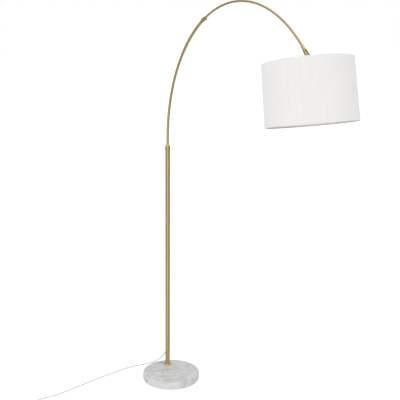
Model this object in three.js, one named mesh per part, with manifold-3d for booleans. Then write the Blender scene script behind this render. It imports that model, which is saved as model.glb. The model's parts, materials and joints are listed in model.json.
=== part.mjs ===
// Arc floor lamp: a marble disc, a two-piece post, a curved tube with a rod that slides inside it, and a drum
// shade on a tilting knuckle. Millimetres, +Z up. The origin is the centre of the base's underside, and the arc
// lies in a plane parallel to XZ and reaches towards +X.
import * as THREE from "three";
import { mergeVertices } from "three/addons/utils/BufferGeometryUtils.js";
import Module from "manifold-3d";

const wasm = await Module();
wasm.setup();

// Driving dimensions
const GAP = 0.3; // clearance between pieces that touch
const rad = THREE.MathUtils.degToRad;

const BASE_RADIUS = 150;
const BASE_TOP = 40;
const FELT = { radius: 143, thickness: 2 };
const RECESS = { radius: 22, ceiling: 16 }; // pocket under the marble for the bolt's head
const BOLT_RADIUS = 5;

const POST_OFFSET = 90; // from the base's centre to the post's axis
const POST_BEARING = rad(15); // the post stands this far round from the side opposite the reach
const POST_TOP = 1258;
const POST_SPLIT = 645; // height of the joint between the two post tubes
const POST = { outer: 12, inner: 10.8 };
const CAP_HEIGHT = 34; // of the cap that closes the post, above its skirt
const EXIT_HEIGHT = 96; // of the mains lead's way out of the post

const ARC_RADIUS = 665;
const ARC_START = POST_TOP + 32; // height at which the straight tube starts to curve
const TUBE = { outer: 6.35, inner: 5.55, foot: POST_TOP - 98, end: rad(63) };
const ROD = { outer: 4.5, inner: 3.5, start: rad(45), end: rad(134) };
const SLIDE_IN = rad(30); // how far the rod can be pushed into the tube
const FORK_REACH = 34; // from the rod's end to the knuckle's pin
const PIN_RADIUS = 2.5;
const SHADE_TILT = rad(10.5);

const SHADE = { top: 175, bottom: 180, upper: -24, lower: -264, cloth: 0.9, lining: 0.7 }; // heights from the pin
const CORD_RADIUS = 2.75;
const CORD_FLOOR = CORD_RADIUS + 0.05; // height of the lead's middle where it lies on the floor

const POST_AXIS = new THREE.Vector3(
  -POST_OFFSET * Math.cos(POST_BEARING),
  POST_OFFSET * Math.sin(POST_BEARING),
  0,
);
const EXIT_WAY = POST_AXIS.clone().normalize(); // the lead leaves on the side away from the base's centre
const ARC_CENTRE = new THREE.Vector3(POST_AXIS.x + ARC_RADIUS, POST_AXIS.y, ARC_START);

const SWITCH = { from: new THREE.Vector3(-30, -777, 9), heading: rad(-45), length: 78, width: 34 };
const COIL = { x: 90, y: -813.7, inner: 24.5, outer: 41.5, height: 10.6 };
const PLUG = { x: 126, y: -740, z: 6.85, length: 38, width: 35.3, thickness: 13.6 };

// The mains lead's route over the floor, from the tip of its strain relief to the foot switch.
const CORD_ROUTE = [
  [-121, 32.4, EXIT_HEIGHT],
  [-126, 33.7, EXIT_HEIGHT - 0.2],
  [-135, 36, 92.6],
  [-143.5, 36, 84],
  [-150, 33, 71],
  [-159, 26, 58],
  [-171, 16, 42],
  [-187, 3, 26],
  [-204, -13, 12],
  [-217, -32, 4.6],
  [-223, -55, CORD_FLOOR + 0.15],
  [-222, -80, CORD_FLOOR],
  [-225, -115, CORD_FLOOR],
  [-223, -152, CORD_FLOOR],
  [-204, -232, CORD_FLOOR],
  [-184, -311, CORD_FLOOR],
  [-162, -388, CORD_FLOOR],
  [-137, -466, CORD_FLOOR],
  [-114, -540, CORD_FLOOR],
  [-95, -612, CORD_FLOOR],
  [-89, -675, CORD_FLOOR],
  [-86, -705, CORD_FLOOR],
  [-73, -734, CORD_FLOOR + 0.25],
  [-52, -755, 4.8],
  [-37, -770, 8.8],
  [-30.3, -776.7, 9],
];
const CORD_LINK = [
  [25.4, -832.4, 9],
  [29.4, -836.4, 8.8],
  [35.5, -842.2, 6.2],
  [44, -848.5, CORD_FLOOR + 0.6],
  [54, -851.8, CORD_FLOOR],
  [67, -852.2, CORD_FLOOR],
];
const CORD_TAIL = [
  [126, -787, 8.8],
  [126, -775, 7],
  [126, -760, 5.2],
  [126, -748, 6.4],
  [126, -740.3, PLUG.z],
];

const FINISH = {
  brass: [0xb8966e, 0.35, 1],
  steel: [0xb9bcc0, 0.4, 1],
  marble: [0xd2d2d0, 0.15, 0],
  felt: [0x3a3a3a, 0.9, 0],
  nylon: [0xe8e6e0, 0.5, 0],
  lead: [0xe9e9e6, 0.45, 0],
  cloth: [0xefedea, 0.9, 0],
  lining: [0xf6f5f2, 0.6, 0],
  phenolic: [0xf2f1ee, 0.35, 0],
  opal: [0xfaf8f2, 0.25, 0],
};

// Geometry helpers

const ring2 = (radius, sides) =>
  Array.from({ length: sides }, (_, i) => {
    const a = (2 * Math.PI * i) / sides;
    return new THREE.Vector2(radius * Math.cos(a), radius * Math.sin(a));
  });

function disc(radius, sides, bore = 0) {
  const shape = new THREE.Shape(ring2(radius, sides));
  if (bore) shape.holes.push(new THREE.Path(ring2(bore, sides)));
  return shape;
}

const upright = (shape, low, high) =>
  new THREE.ExtrudeGeometry(shape, { depth: high - low, bevelEnabled: false }).translate(0, 0, low);

const pipe = (outer, inner, low, high, sides = 16) => upright(disc(outer, sides, inner), low, high);
const bar = (radius, low, high, sides = 16) => upright(disc(radius, sides), low, high);

// A bar across the part, along Y.
const crossBar = (radius, from, to, sides = 10) => bar(radius, -to, -from, sides).rotateX(Math.PI / 2);

// An outline in XZ, made solid between two heights along Y.
const plate = (points, from, to) =>
  upright(new THREE.Shape(points.map(([x, z]) => new THREE.Vector2(x, z))), -to, -from).rotateX(Math.PI / 2);

const box = (x, y, z, cx = 0, cy = 0, cz = 0) => new THREE.BoxGeometry(x, y, z).translate(cx, cy, cz);

// A profile of [radius, height] pairs turned about Z, going up its outer side.
const turned = (profile, segments = 20) =>
  new THREE.LatheGeometry(
    profile.map(([r, z]) => new THREE.Vector2(r, z)),
    segments,
  ).rotateX(Math.PI / 2);

// Points [radius, height] of a quarter round or other arc of a profile.
const arc = (r, z, radius, from, to, steps) =>
  Array.from({ length: steps + 1 }, (_, i) => {
    const a = from + ((to - from) * i) / steps;
    return [r + radius * Math.cos(a), z + radius * Math.sin(a)];
  });

const closed = (profile) => [...profile, profile[0]];

const swept = (shape, path, steps) =>
  new THREE.ExtrudeGeometry(shape, { extrudePath: path, steps, bevelEnabled: false });

function solidOf(geometry) {
  const bare = geometry.clone();
  bare.deleteAttribute("normal");
  bare.deleteAttribute("uv");
  const merged = mergeVertices(bare, 1e-3);
  return new wasm.Manifold(
    new wasm.Mesh({
      numProp: 3,
      vertProperties: merged.attributes.position.array,
      triVerts: new Uint32Array(merged.index.array),
    }),
  );
}

function geometryOf(solid) {
  const { vertProperties, triVerts } = solid.getMesh();
  const geometry = new THREE.BufferGeometry();
  geometry.setAttribute("position", new THREE.BufferAttribute(vertProperties, 3));
  geometry.setIndex(new THREE.BufferAttribute(triVerts, 1));
  return geometry;
}

const combined = (how) => (first, ...others) =>
  geometryOf(others.reduce((sum, g) => sum[how](solidOf(g)), solidOf(first)));
const cut = combined("subtract");
const joined = combined("add");
const common = combined("intersect");

const SIDES = 10; // of the curved tubes' sections
const LEAD_SECTION = disc(CORD_RADIUS - 0.4, 6); // the lead where it runs hidden inside the tubes

class ArcPath extends THREE.Curve {
  // In the arc's plane, from one angle to another, with an upright stretch below it.
  constructor(from, to, upright = 0) {
    super();
    Object.assign(this, { from, to, upright });
  }
  getPoint(t, target = new THREE.Vector3()) {
    const bent = ARC_RADIUS * (this.to - this.from);
    const along = t * (this.upright + bent) - this.upright;
    if (along < 0) return target.set(POST_AXIS.x, POST_AXIS.y, ARC_START + along);
    const a = this.from + along / ARC_RADIUS;
    return target.set(
      ARC_CENTRE.x - ARC_RADIUS * Math.cos(a),
      ARC_CENTRE.y,
      ARC_CENTRE.z + ARC_RADIUS * Math.sin(a),
    );
  }
}

const curve = (points) => new THREE.CatmullRomCurve3(points.map((p) => new THREE.Vector3(...p)));
const onArc = (angle) => new ArcPath(angle, angle + 1).getPoint(0);

// The scene graph

const lamp = new THREE.Group();

function add(group, name, finish, geometry) {
  const [color, roughness, metalness] = FINISH[finish];
  const mesh = new THREE.Mesh(geometry, new THREE.MeshStandardMaterial({ color, roughness, metalness }));
  mesh.name = name;
  group.add(mesh);
  return mesh;
}

function groupAt(position, turn = 0) {
  const group = new THREE.Group();
  group.position.copy(position);
  group.rotation.y = turn;
  lamp.add(group);
  return group;
}

// Base: a marble disc on a felt pad, bolted up into the post's foot.
function makeBase() {
  const { x, y } = POST_AXIS;
  const bottom = FELT.thickness + GAP;
  const [lowRound, topRound] = [4, 8];
  const marble = turned([
    [0, bottom],
    ...arc(BASE_RADIUS - lowRound, bottom + lowRound, lowRound, -Math.PI / 2, 0, 2),
    ...arc(BASE_RADIUS - topRound, BASE_TOP - topRound, topRound, 0, Math.PI / 2, 3),
    [0, BASE_TOP],
  ], 48);
  const recess = bar(RECESS.radius, 0, RECESS.ceiling, 20).translate(x, y, 0);
  const bore = bar(BOLT_RADIUS + 1.5, 0, BASE_TOP + 1).translate(x, y, 0);
  add(lamp, "marble_base", "marble", cut(marble, recess, bore));
  add(lamp, "felt_pad", "felt", bar(FELT.radius, 0, FELT.thickness, 32));

  const post = groupAt(POST_AXIS);
  const washerTop = RECESS.ceiling - GAP;
  add(post, "base_washer", "steel", pipe(17, BOLT_RADIUS + 0.6, washerTop - 2.5, washerTop));
  const headTop = washerTop - 2.5 - GAP;
  const bolt = joined(bar(9.8, headTop - 6.5, headTop, 6), bar(BOLT_RADIUS, headTop - 1, 68));
  add(post, "base_bolt", "steel", bolt);
  return post;
}

// Post: two brass tubes with threaded inserts, a rosette at the foot and a domed cap at the top.
function makePost(post) {
  const floor = BASE_TOP + GAP;
  const insert = POST.inner - GAP;
  add(post, "post_rosette", "brass", turned(closed([
    [POST.outer + GAP, floor],
    [20, floor],
    [20, floor + 3],
    [18.5, floor + 5.2],
    [16, floor + 6],
    [POST.outer + GAP, floor + 6],
  ]), 24));
  add(post, "post_foot_insert", "steel", pipe(insert, BOLT_RADIUS + GAP, floor + 1, floor + 32));

  const lower = pipe(POST.outer, POST.inner, floor, POST_SPLIT - GAP / 2, 24);
  const wayOut = bar(4.9, 0, 30, 16).rotateY(Math.PI / 2).rotateZ(Math.atan2(EXIT_WAY.y, EXIT_WAY.x));
  add(post, "post_lower_tube", "brass", cut(lower, wayOut.translate(0, 0, EXIT_HEIGHT)));
  add(post, "post_lower_insert", "steel", pipe(insert, 7.3, POST_SPLIT - 30, POST_SPLIT - 0.5));
  add(post, "post_joint_stud", "steel", pipe(7, 4.5, POST_SPLIT - 28, POST_SPLIT + 28));
  add(post, "post_upper_insert", "steel", pipe(insert, 7.3, POST_SPLIT + 0.5, POST_SPLIT + 30));
  const capFoot = POST_TOP - CAP_HEIGHT;
  add(post, "post_upper_tube", "brass", pipe(POST.outer, POST.inner, POST_SPLIT + GAP / 2, capFoot - GAP, 24));

  const bore = TUBE.outer + GAP;
  const dome = 13;
  const cap = turned(closed([
    [bore, capFoot - 22],
    [insert, capFoot - 22],
    [insert, capFoot],
    [POST.outer + 0.3, capFoot],
    [POST.outer + 1, capFoot + 1.5],
    [POST.outer + 1, POST_TOP - dome],
    [POST.outer + 0.4, POST_TOP - dome + 4],
    [POST.outer - 1.4, POST_TOP - dome + 8],
    [POST.outer - 3.6, POST_TOP - 1.5],
    [bore + 0.8, POST_TOP],
    [bore, POST_TOP],
  ]), 24);
  const screwHeight = capFoot + 7;
  const screwHole = bar(2.8, 5, 20, 16).rotateY(-Math.PI / 2).translate(0, 0, screwHeight);
  add(post, "post_cap", "brass", cut(cap, screwHole));
  const socket = bar(1.4, -12.9, -10.4, 6);
  const grub = cut(bar(2.5, -12.6, -(TUBE.outer + 0.5), 16), socket);
  add(post, "cap_set_screw", "steel", grub.rotateY(Math.PI / 2).translate(0, 0, screwHeight));
  const seat = [
    [3.6, TUBE.foot - 6],
    [insert, TUBE.foot - 6],
    [insert, TUBE.foot + 24],
    [bore, TUBE.foot + 24],
    [bore, TUBE.foot - GAP],
    [3.6, TUBE.foot - GAP],
  ];
  add(post, "arm_seat_bush", "nylon", turned(closed(seat)));

  const turn = Math.atan2(EXIT_WAY.y, EXIT_WAY.x);
  const relief = turned([
    [0, 9.6],
    [4.5, 9.6],
    [4.5, POST.outer + GAP],
    [6.5, POST.outer + GAP],
    [6.5, POST.outer + 2],
    [4.8, POST.outer + 3.2],
    [3.6, 34.7],
    [0, 34.7],
  ], 16);
  const grommet = add(post, "cord_strain_relief", "lead", relief.rotateY(Math.PI / 2).rotateZ(turn));
  grommet.position.z = EXIT_HEIGHT;

  const lead = curve([
    [EXIT_WAY.x * 9.2, EXIT_WAY.y * 9.2, EXIT_HEIGHT],
    [EXIT_WAY.x * 6.5, EXIT_WAY.y * 6.5, EXIT_HEIGHT + 0.5],
    [EXIT_WAY.x * 2, EXIT_WAY.y * 2, EXIT_HEIGHT + 16],
    [0, 0, EXIT_HEIGHT + 50],
    [0, 0, EXIT_HEIGHT + 300],
    [0, 0, TUBE.foot - 8],
  ]);
  add(post, "lead_in_post", "lead", swept(LEAD_SECTION, lead, 20));
}

// Arm: the curved tube, and at its end the collar that clamps the rod.
function makeArm() {
  const upright = ARC_START - TUBE.foot;
  const path = new ArcPath(0, TUBE.end, upright);
  add(lamp, "arm_tube", "brass", swept(disc(TUBE.outer, SIDES, TUBE.inner), path, 26));
  const cableEnd = ROD.start + rad(2);
  const cable = new ArcPath(0, cableEnd, upright - 1);
  add(lamp, "lead_in_arm", "lead", swept(LEAD_SECTION, cable, 24));

  const collar = groupAt(onArc(TUBE.end), TUBE.end);
  const half = 15;
  const [wide, narrow] = [7, 5.35];
  const barrel = turned(closed([
    [wide, -half],
    [8.4, -half],
    [9, -half + 0.8],
    [9, half - 3.5],
    [7.4, half],
    [narrow, half],
    [narrow, half - 1.7],
    [wide, half - 1.7],
  ]), 24);
  const screwAt = 5;
  const [headFrom, headTo, shankFrom] = [9.4, 14.4, 5.6];
  const hole = crossBar(2.3, 3, 12, 12).translate(0, 0, screwAt);
  add(collar, "clamp_collar", "brass", cut(barrel, hole));
  const bush = pipe(6.6, 5.05, GAP, half - 2);
  add(collar, "clamp_bush", "nylon", cut(bush, hole));
  const screw = joined(crossBar(4.2, headFrom, headTo, 18), crossBar(2, shankFrom, headFrom + 1, 12));
  add(collar, "clamp_screw", "brass", screw.translate(0, 0, screwAt));
}

// Rod: slides in the arm, and carries the fork of the knuckle.
function makeRod() {
  add(lamp, "arc_rod", "brass", swept(disc(ROD.outer, SIDES, ROD.inner), new ArcPath(ROD.start, ROD.end), 30));
  const tail = groupAt(onArc(ROD.start + rad(0.6)), ROD.start + rad(0.6));
  add(tail, "rod_glide", "nylon", pipe(5, 4.84, -4, 4));
  const cableFrom = ROD.start + rad(2.5) + SLIDE_IN;
  const cable = new ArcPath(cableFrom, ROD.end - rad(0.2));
  add(lamp, "lead_in_rod", "lead", swept(LEAD_SECTION, cable, 16));
}

// Knuckle: a fork on the rod, with local +Z pointing back along the rod, and its pin along Y.
const pinPoint = onArc(ROD.end).add(
  new THREE.Vector3(Math.sin(ROD.end), 0, Math.cos(ROD.end)).multiplyScalar(FORK_REACH),
);
const SLOT = { half: 3.5, root: 24 }; // half its width, and its height above the pin
const EARS = { outer: 7.4, radius: 6.4, shoulder: 8 };

function makeFork() {
  const fork = groupAt(pinPoint, ROD.end - Math.PI);
  const neck = 5.8;
  const sideOn = plate([
    ...arc(0, 0, EARS.radius, Math.PI, 2 * Math.PI, 12),
    [EARS.radius, EARS.shoulder],
    [neck, FORK_REACH - 2],
    [neck, FORK_REACH + 13],
    [-neck, FORK_REACH + 13],
    [-neck, FORK_REACH - 2],
    [-EARS.radius, EARS.shoulder],
  ], -EARS.outer, EARS.outer);
  const edgeOn = plate([
    [-EARS.outer, -10],
    [EARS.outer, -10],
    [EARS.outer, EARS.shoulder],
    [neck, FORK_REACH - 2],
    [neck, FORK_REACH + 14],
    [-neck, FORK_REACH + 14],
    [-neck, FORK_REACH - 2],
    [-EARS.outer, EARS.shoulder],
  ], -EARS.radius - 1, EARS.radius + 1).rotateZ(Math.PI / 2);
  const round = turned([
    [0, -10],
    [12, -10],
    [12, EARS.shoulder],
    [neck + 0.6, FORK_REACH - 2],
    [neck, FORK_REACH],
    [neck, FORK_REACH + 12],
    [0, FORK_REACH + 12],
  ]);
  const slot = box(30, 2 * SLOT.half, 36, 0, 0, SLOT.root - 18);
  const rodBore = bar(ROD.outer + 0.45, FORK_REACH - GAP, FORK_REACH + 20, 16);
  const leadBore = bar(3, SLOT.root - 1, FORK_REACH + 5, 12);
  const pinHole = crossBar(PIN_RADIUS + 0.4, -20, 20);
  const screwHole = crossBar(1.8, 3, 10, 10).translate(0, 0, FORK_REACH + 7);
  const body = common(sideOn, edgeOn, round);
  add(fork, "rod_fork", "brass", cut(body, slot, rodBore, leadBore, pinHole, screwHole));
  const grub = crossBar(1.5, ROD.outer + 0.3, neck + 0.1, 10);
  add(fork, "fork_set_screw", "steel", grub.translate(0, 0, FORK_REACH + 7));

  const face = EARS.outer + GAP;
  const domed = turned([[0, 0], [4.8, 0], [4.8, 1.3], [3.7, 2.4], [1.9, 3], [0, 3.2]], 14);
  const head = domed.clone().rotateX(Math.PI / 2).translate(0, -face, 0);
  add(fork, "knuckle_bolt", "brass", joined(head, crossBar(PIN_RADIUS, -face - 0.5, face + 2.3)));
  const nut = domed.clone().scale(1, 1, 1.25).rotateX(-Math.PI / 2).translate(0, face, 0);
  add(fork, "knuckle_nut", "brass", cut(nut, crossBar(PIN_RADIUS + 0.4, face - 1, face + 2.6)));
}

// Head: hangs from the pin, with local +Z up the shade's axis.
function makeHead() {
  const head = groupAt(pinPoint, -SHADE_TILT);
  const tongueHalf = SLOT.half - GAP;
  const eye = 6;
  const collar = { top: -13.5, foot: -20, radius: 6.6 };
  const tongue = plate([
    ...arc(0, 0, eye, rad(-40), rad(220), 14),
    [-4.8, collar.top - 1],
    [4.8, collar.top - 1],
  ], -tongueHalf, tongueHalf);
  const stem = turned([
    [0, -31],
    [5, -31],
    [5, collar.foot],
    [collar.radius, collar.foot],
    [collar.radius, collar.top - 1],
    [collar.radius - 1, collar.top],
    [0, collar.top],
  ], 16);
  const pinHole = crossBar(PIN_RADIUS + 0.4, -6, 6);
  const leadTop = collar.top - 1.2;
  const leadBore = bar(3, -32, leadTop, 12);
  add(head, "knuckle_tongue", "brass", cut(joined(tongue, stem), pinHole, leadBore));

  add(head, "socket_cup", "brass", turned(closed([
    [19.8, -46],
    [21, -46],
    [21, -32],
    [19.6, -27],
    [15.5, -23.4],
    [10, -20.8],
    [5.4, -20.8],
    [5.4, -22],
    [9.6, -22],
    [14.8, -24.6],
    [18.5, -27.8],
    [19.8, -32.4],
  ])));
  add(head, "stem_nut", "steel", cut(bar(8, -27.5, -22.6, 6), bar(5.3, -30, -20)));
  add(head, "lampholder", "phenolic", turned(closed([
    [3.4, -34],
    [3.4, -62],
    [14.7, -62],
    [14.7, -92],
    [19.9, -92],
    [19.9, -50],
    [22.5, -50],
    [22.5, -46.4],
    [19.4, -46.4],
    [19.4, -34],
  ])));
  add(head, "lampholder_shell", "steel", pipe(14.3, 13.7, -88, -63));
  add(head, "lampholder_contact", "brass", bar(4.2, -64, -62.4, 12));
  add(head, "lead_in_head", "lead", bar(CORD_RADIUS - 0.4, -62, leadTop - 0.7, 8));
  add(head, "shade_ring_nut", "phenolic", pipe(24.5, 20.5, -60, -52.6, 20));

  const cap = [
    [0, -66.9],
    [3, -66.9],
    [5.4, -68],
    [11.6, -71.6],
    [13.2, -74],
    [13.2, -91],
    [0, -91],
  ];
  add(head, "bulb_cap", "steel", turned(cap.reverse(), 16));
  const globe = { z: -136, r: 30 };
  const outside = arc(0, globe.z, globe.r, -Math.PI / 2, rad(38), 5);
  const inside = arc(0, globe.z, globe.r - 1, rad(38), -Math.PI / 2, 5);
  outside[0][0] = 0;
  inside[inside.length - 1][0] = 0;
  add(head, "bulb_glass", "opal", turned([
    ...outside,
    [14.5, -104],
    [12.8, -91.3],
    [11.8, -91.3],
    [13.5, -104],
    ...inside,
  ], 18));

  makeShade(head);
}

function makeShade(head) {
  const { top, bottom, upper, lower, cloth, lining } = SHADE;
  const drum = (inset, wall) => turned(closed([
    [bottom - inset, lower],
    [top - inset, upper],
    [top - inset - wall, upper],
    [bottom - inset - wall, lower],
  ]), 48);
  add(head, "shade_cover", "cloth", drum(0, cloth));
  add(head, "shade_lining", "lining", drum(cloth + GAP, lining));

  const wire = 2;
  const inset = cloth + GAP + lining + GAP + wire;
  const hoop = (radius, z) => new THREE.TorusGeometry(radius, wire, 6, 30).translate(0, 0, z);
  const edge = wire + 1;
  add(head, "shade_lower_ring", "steel", hoop(bottom - inset - 0.1, lower + edge));

  const hub = { outer: 27, inner: 20.4, low: -52.2, high: -50.3 };
  const hoopRadius = top - inset;
  const from = new THREE.Vector3(hub.outer - 1.5, 0, hub.high - 0.4);
  const to = new THREE.Vector3(hoopRadius, 0, upper - edge);
  const arm = new THREE.LineCurve3(from, to);
  const arms = [0, 1, 2].map((i) => swept(disc(1.8, 6), arm, 1).rotateZ(rad(90 + 120 * i)));
  const ring = pipe(hub.outer, hub.inner, hub.low, hub.high, 20);
  add(head, "shade_spider", "steel", joined(hoop(hoopRadius, upper - edge), ring, ...arms));
}

// Mains lead on the floor, with its foot switch, coil and plug.
function makeLead() {
  const section = disc(CORD_RADIUS, 8);
  add(lamp, "cord_run", "lead", swept(section, curve(CORD_ROUTE), 62));
  add(lamp, "cord_link", "lead", swept(section, curve(CORD_LINK), 5));
  add(lamp, "cord_tail", "lead", swept(section, curve(CORD_TAIL), 5));
  const { inner, outer, height } = COIL;
  const edge = 2;
  const coil = turned(closed([
    [inner, 0],
    [outer, 0],
    [outer, height - edge],
    [outer - edge, height],
    [inner + edge, height],
    [inner, height - edge],
  ]), 24);
  add(lamp, "cord_coil", "lead", coil.translate(COIL.x, COIL.y, 0));
}

// A rounded bar seen from above, from x = 0 to its length.
function lozenge(length, width, nose) {
  const w = width / 2;
  return new THREE.Shape([
    new THREE.Vector2(0, -nose),
    new THREE.Vector2(8, -w * 0.72),
    new THREE.Vector2(20, -w),
    new THREE.Vector2(length - 20, -w),
    new THREE.Vector2(length - 8, -w * 0.72),
    new THREE.Vector2(length, -nose),
    new THREE.Vector2(length, nose),
    new THREE.Vector2(length - 8, w * 0.72),
    new THREE.Vector2(length - 20, w),
    new THREE.Vector2(20, w),
    new THREE.Vector2(8, w * 0.72),
    new THREE.Vector2(0, nose),
  ]);
}

function makeSwitch() {
  const at = new THREE.Group();
  at.position.set(SWITCH.from.x, SWITCH.from.y, 0);
  at.rotation.z = SWITCH.heading;
  lamp.add(at);
  const { length, width } = SWITCH;
  const outline = lozenge(length, width, 6);
  const split = SWITCH.from.z;
  const top = 20;
  add(at, "foot_switch_base", "phenolic", upright(outline, 0, split - GAP / 2));
  const middle = length / 2;
  const opening = bar(9, 0, 40).translate(middle, 0, 0);
  const lid = common(
    upright(outline, split + GAP / 2, top),
    plate([
      [0, 0], [length, 0], [length, split + 4], [length - 16, top - 1.5], [length - 24, top],
      [24, top], [16, top - 1.5], [0, split + 4],
    ], -30, 30),
  );
  add(at, "foot_switch_cover", "phenolic", cut(lid, opening));
  const button = turned([[0, split + 4], [8.5, split + 4], [8.5, top + 2], [7, top + 3.5], [0, top + 4]], 16);
  add(at, "foot_switch_button", "phenolic", button.translate(middle, 0, 0));
}

function makePlug() {
  const at = new THREE.Group();
  at.position.set(PLUG.x, PLUG.y, 0);
  at.rotation.z = Math.PI / 2;
  lamp.add(at);
  const { length, width, thickness } = PLUG;
  const w = width / 2;
  const outline = new THREE.Shape([
    [0, -4], [10, -5.5], [19, -w + 3], [24, -w], [length, -w],
    [length, w], [24, w], [19, w - 3], [10, 5.5], [0, 4],
  ].map((p) => new THREE.Vector2(...p)));
  const edge = plate([
    [0, 2.8], [10, 1], [22, 0.2], [length, 0.2], [length, thickness],
    [22, thickness], [10, thickness - 0.8], [0, thickness - 2.6],
  ], -30, 30);
  add(at, "plug_body", "phenolic", common(upright(outline, 0, thickness + 1), edge));
  const pins = { left: 9.5, right: -9.5 };
  for (const [side, y] of Object.entries(pins)) {
    const pin = turned([[0, 0], [2, 0], [2, 18], [1.2, 19], [0, 19]], 8).rotateY(Math.PI / 2);
    add(at, `plug_pin_${side}`, "steel", pin.translate(length + GAP, y, PLUG.z));
  }
}

makePost(makeBase());
makeArm();
makeRod();
makeFork();
makeHead();
makeLead();
makeSwitch();
makePlug();

export default lamp;
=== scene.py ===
# Arc floor lamp: the fine meshes, materials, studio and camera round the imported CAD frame.
# Shapes are in millimetres in the part's own frame, and MM turns them into metres.
import json
import math

import bmesh
import bpy
from mathutils import Matrix, Vector


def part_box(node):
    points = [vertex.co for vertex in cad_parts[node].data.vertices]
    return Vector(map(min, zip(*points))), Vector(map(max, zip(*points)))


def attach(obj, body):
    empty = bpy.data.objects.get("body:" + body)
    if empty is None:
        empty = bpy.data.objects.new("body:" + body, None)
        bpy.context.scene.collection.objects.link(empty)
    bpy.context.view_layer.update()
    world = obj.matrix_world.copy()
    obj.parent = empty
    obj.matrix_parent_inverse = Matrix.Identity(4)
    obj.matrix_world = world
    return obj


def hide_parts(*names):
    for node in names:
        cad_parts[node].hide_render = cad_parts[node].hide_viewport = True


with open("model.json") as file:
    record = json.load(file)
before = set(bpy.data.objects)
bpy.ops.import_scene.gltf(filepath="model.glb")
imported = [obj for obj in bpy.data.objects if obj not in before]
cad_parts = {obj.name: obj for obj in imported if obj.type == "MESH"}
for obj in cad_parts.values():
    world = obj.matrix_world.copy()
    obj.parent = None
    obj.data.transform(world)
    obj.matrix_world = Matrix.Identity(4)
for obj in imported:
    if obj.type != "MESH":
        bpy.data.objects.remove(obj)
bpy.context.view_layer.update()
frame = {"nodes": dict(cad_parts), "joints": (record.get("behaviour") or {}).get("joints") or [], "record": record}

MM = 0.001
SPECK = 0.002  # nothing on the lamp is this small
GAP = 0.3  # between pieces that rest on each other
TURN = 2 * math.pi
RECORD = frame["record"]
JOINT_AT = {j["name"]: Vector(j["pos_m"]) / MM for j in frame["joints"] if "pos_m" in j}
BODY_OF = {node: body for body, nodes in RECORD["behaviour"]["bodies"].items() for node in nodes}
SLOT_OF = {part["node"]: part["material_slot"] for part in RECORD["subparts"]}


def box_mm(node):
    low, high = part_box(node)
    return low / MM, high / MM


# Places, from the frame
POST_AXIS = Vector((*JOINT_AT["arm_swivel"].xy, 0))
ARC_CENTRE = JOINT_AT["rod_slide"]
ARC_RADIUS = ARC_CENTRE.x - POST_AXIS.x
PIN = JOINT_AT["head_tilt"]
BASE_LOW, BASE_HIGH = box_mm("marble_base")
BASE_TOP = BASE_HIGH.z
BASE_RADIUS = (BASE_HIGH.x - BASE_LOW.x) / 2

# Sizes
POST_RADIUS, POST_BORE = 12, 10.8
ARM_RADIUS, ARM_BORE = 6.35, 5.55
ROD_RADIUS, ROD_BORE = 4.5, 3.5
CORD_RADIUS = 2.75
PIN_HOLE = 2.8  # radius of the holes for the knuckle's bolt
SHADE_TOP = (175, -24)  # radius, and height on the head's own axis
SHADE_FOOT = (180, -264)
PLUG_HEIGHT = 6.85  # of the plug's middle over the floor

# Angles round the arc, from where it leaves the arm's straight foot
TUBE_END = math.radians(63)
ROD_START, ROD_END = math.radians(45), math.radians(134)

# Frames of the pieces that don't stand upright at the origin
EXIT_HEIGHT = 96
EXIT_WAY = POST_AXIS.normalized()
EXIT_TURN = EXIT_WAY.to_track_quat("Z", "Y").to_matrix().to_4x4()
ACROSS = Matrix.Rotation(-math.pi / 2, 4, "X")  # lays a piece's own Z along its Y
POST = Matrix.Translation(POST_AXIS)
EXIT = Matrix.Translation(POST_AXIS + Vector((0, 0, EXIT_HEIGHT))) @ EXIT_TURN
FORK = Matrix.Translation(PIN) @ Matrix.Rotation(ROD_END - math.pi, 4, "Y")
HEAD = Matrix.Translation(PIN) @ Matrix.Rotation(math.radians(-10.5), 4, "Y")
SWITCH = Matrix.Translation((-30, -777, 0)) @ Matrix.Rotation(math.radians(-45), 4, "Z")
PLUG = Matrix.Translation((126, -740, 0)) @ Matrix.Rotation(math.pi / 2, 4, "Z")

# The mains lead's route, from the post through the switch to the coil, and from the coil to the plug
FLOOR = CORD_RADIUS + 0.05  # height of the lead's middle where it lies on the floor
CORD_ROUTE = [
    (-121, 32.4, 96), (-126, 33.7, 95.8), (-135, 36, 92.6), (-143.5, 36, 84), (-150, 33, 71),
    (-159, 26, 58), (-171, 16, 42), (-187, 3, 26), (-204, -13, 12), (-217, -32, 4.6),
    (-223, -55, FLOOR + 0.15), (-222, -80, FLOOR), (-225, -115, FLOOR), (-223, -152, FLOOR),
    (-204, -232, FLOOR), (-184, -311, FLOOR), (-162, -388, FLOOR), (-137, -466, FLOOR),
    (-114, -540, FLOOR), (-95, -612, FLOOR), (-89, -675, FLOOR), (-86, -705, FLOOR),
    (-73, -734, FLOOR + 0.25), (-52, -755, 4.8), (-37, -770, 8.8), (-30.3, -776.7, 9),
]
CORD_LINK = [
    (25.4, -832.4, 9), (29.4, -836.4, 8.8), (35.5, -842.2, 6.2),
    (44, -848.5, FLOOR + 0.6), (54, -851.8, FLOOR), (67, -852.2, FLOOR),
]
CORD_TAIL = [(126, -787, 8.4), (126, -775, 7), (126, -760, 5.2), (126, -748, 6.4), (126, -740.3, PLUG_HEIGHT)]
COIL_CENTRE = Vector((90, -813.7, 0))

# Camera, floor and light, in metres
CAMERA_AT = (3.4174, -1.7625, 1.8131)
CAMERA_AHEAD = (-0.85099, 0.48100, -0.21086)
CAMERA_RIGHT = (0.49031, 0.87150, 0.00922)
CAMERA_LENS = 68.9
FLOOR_REACH = 60
ROOM_LIGHT = 0.38
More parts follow.
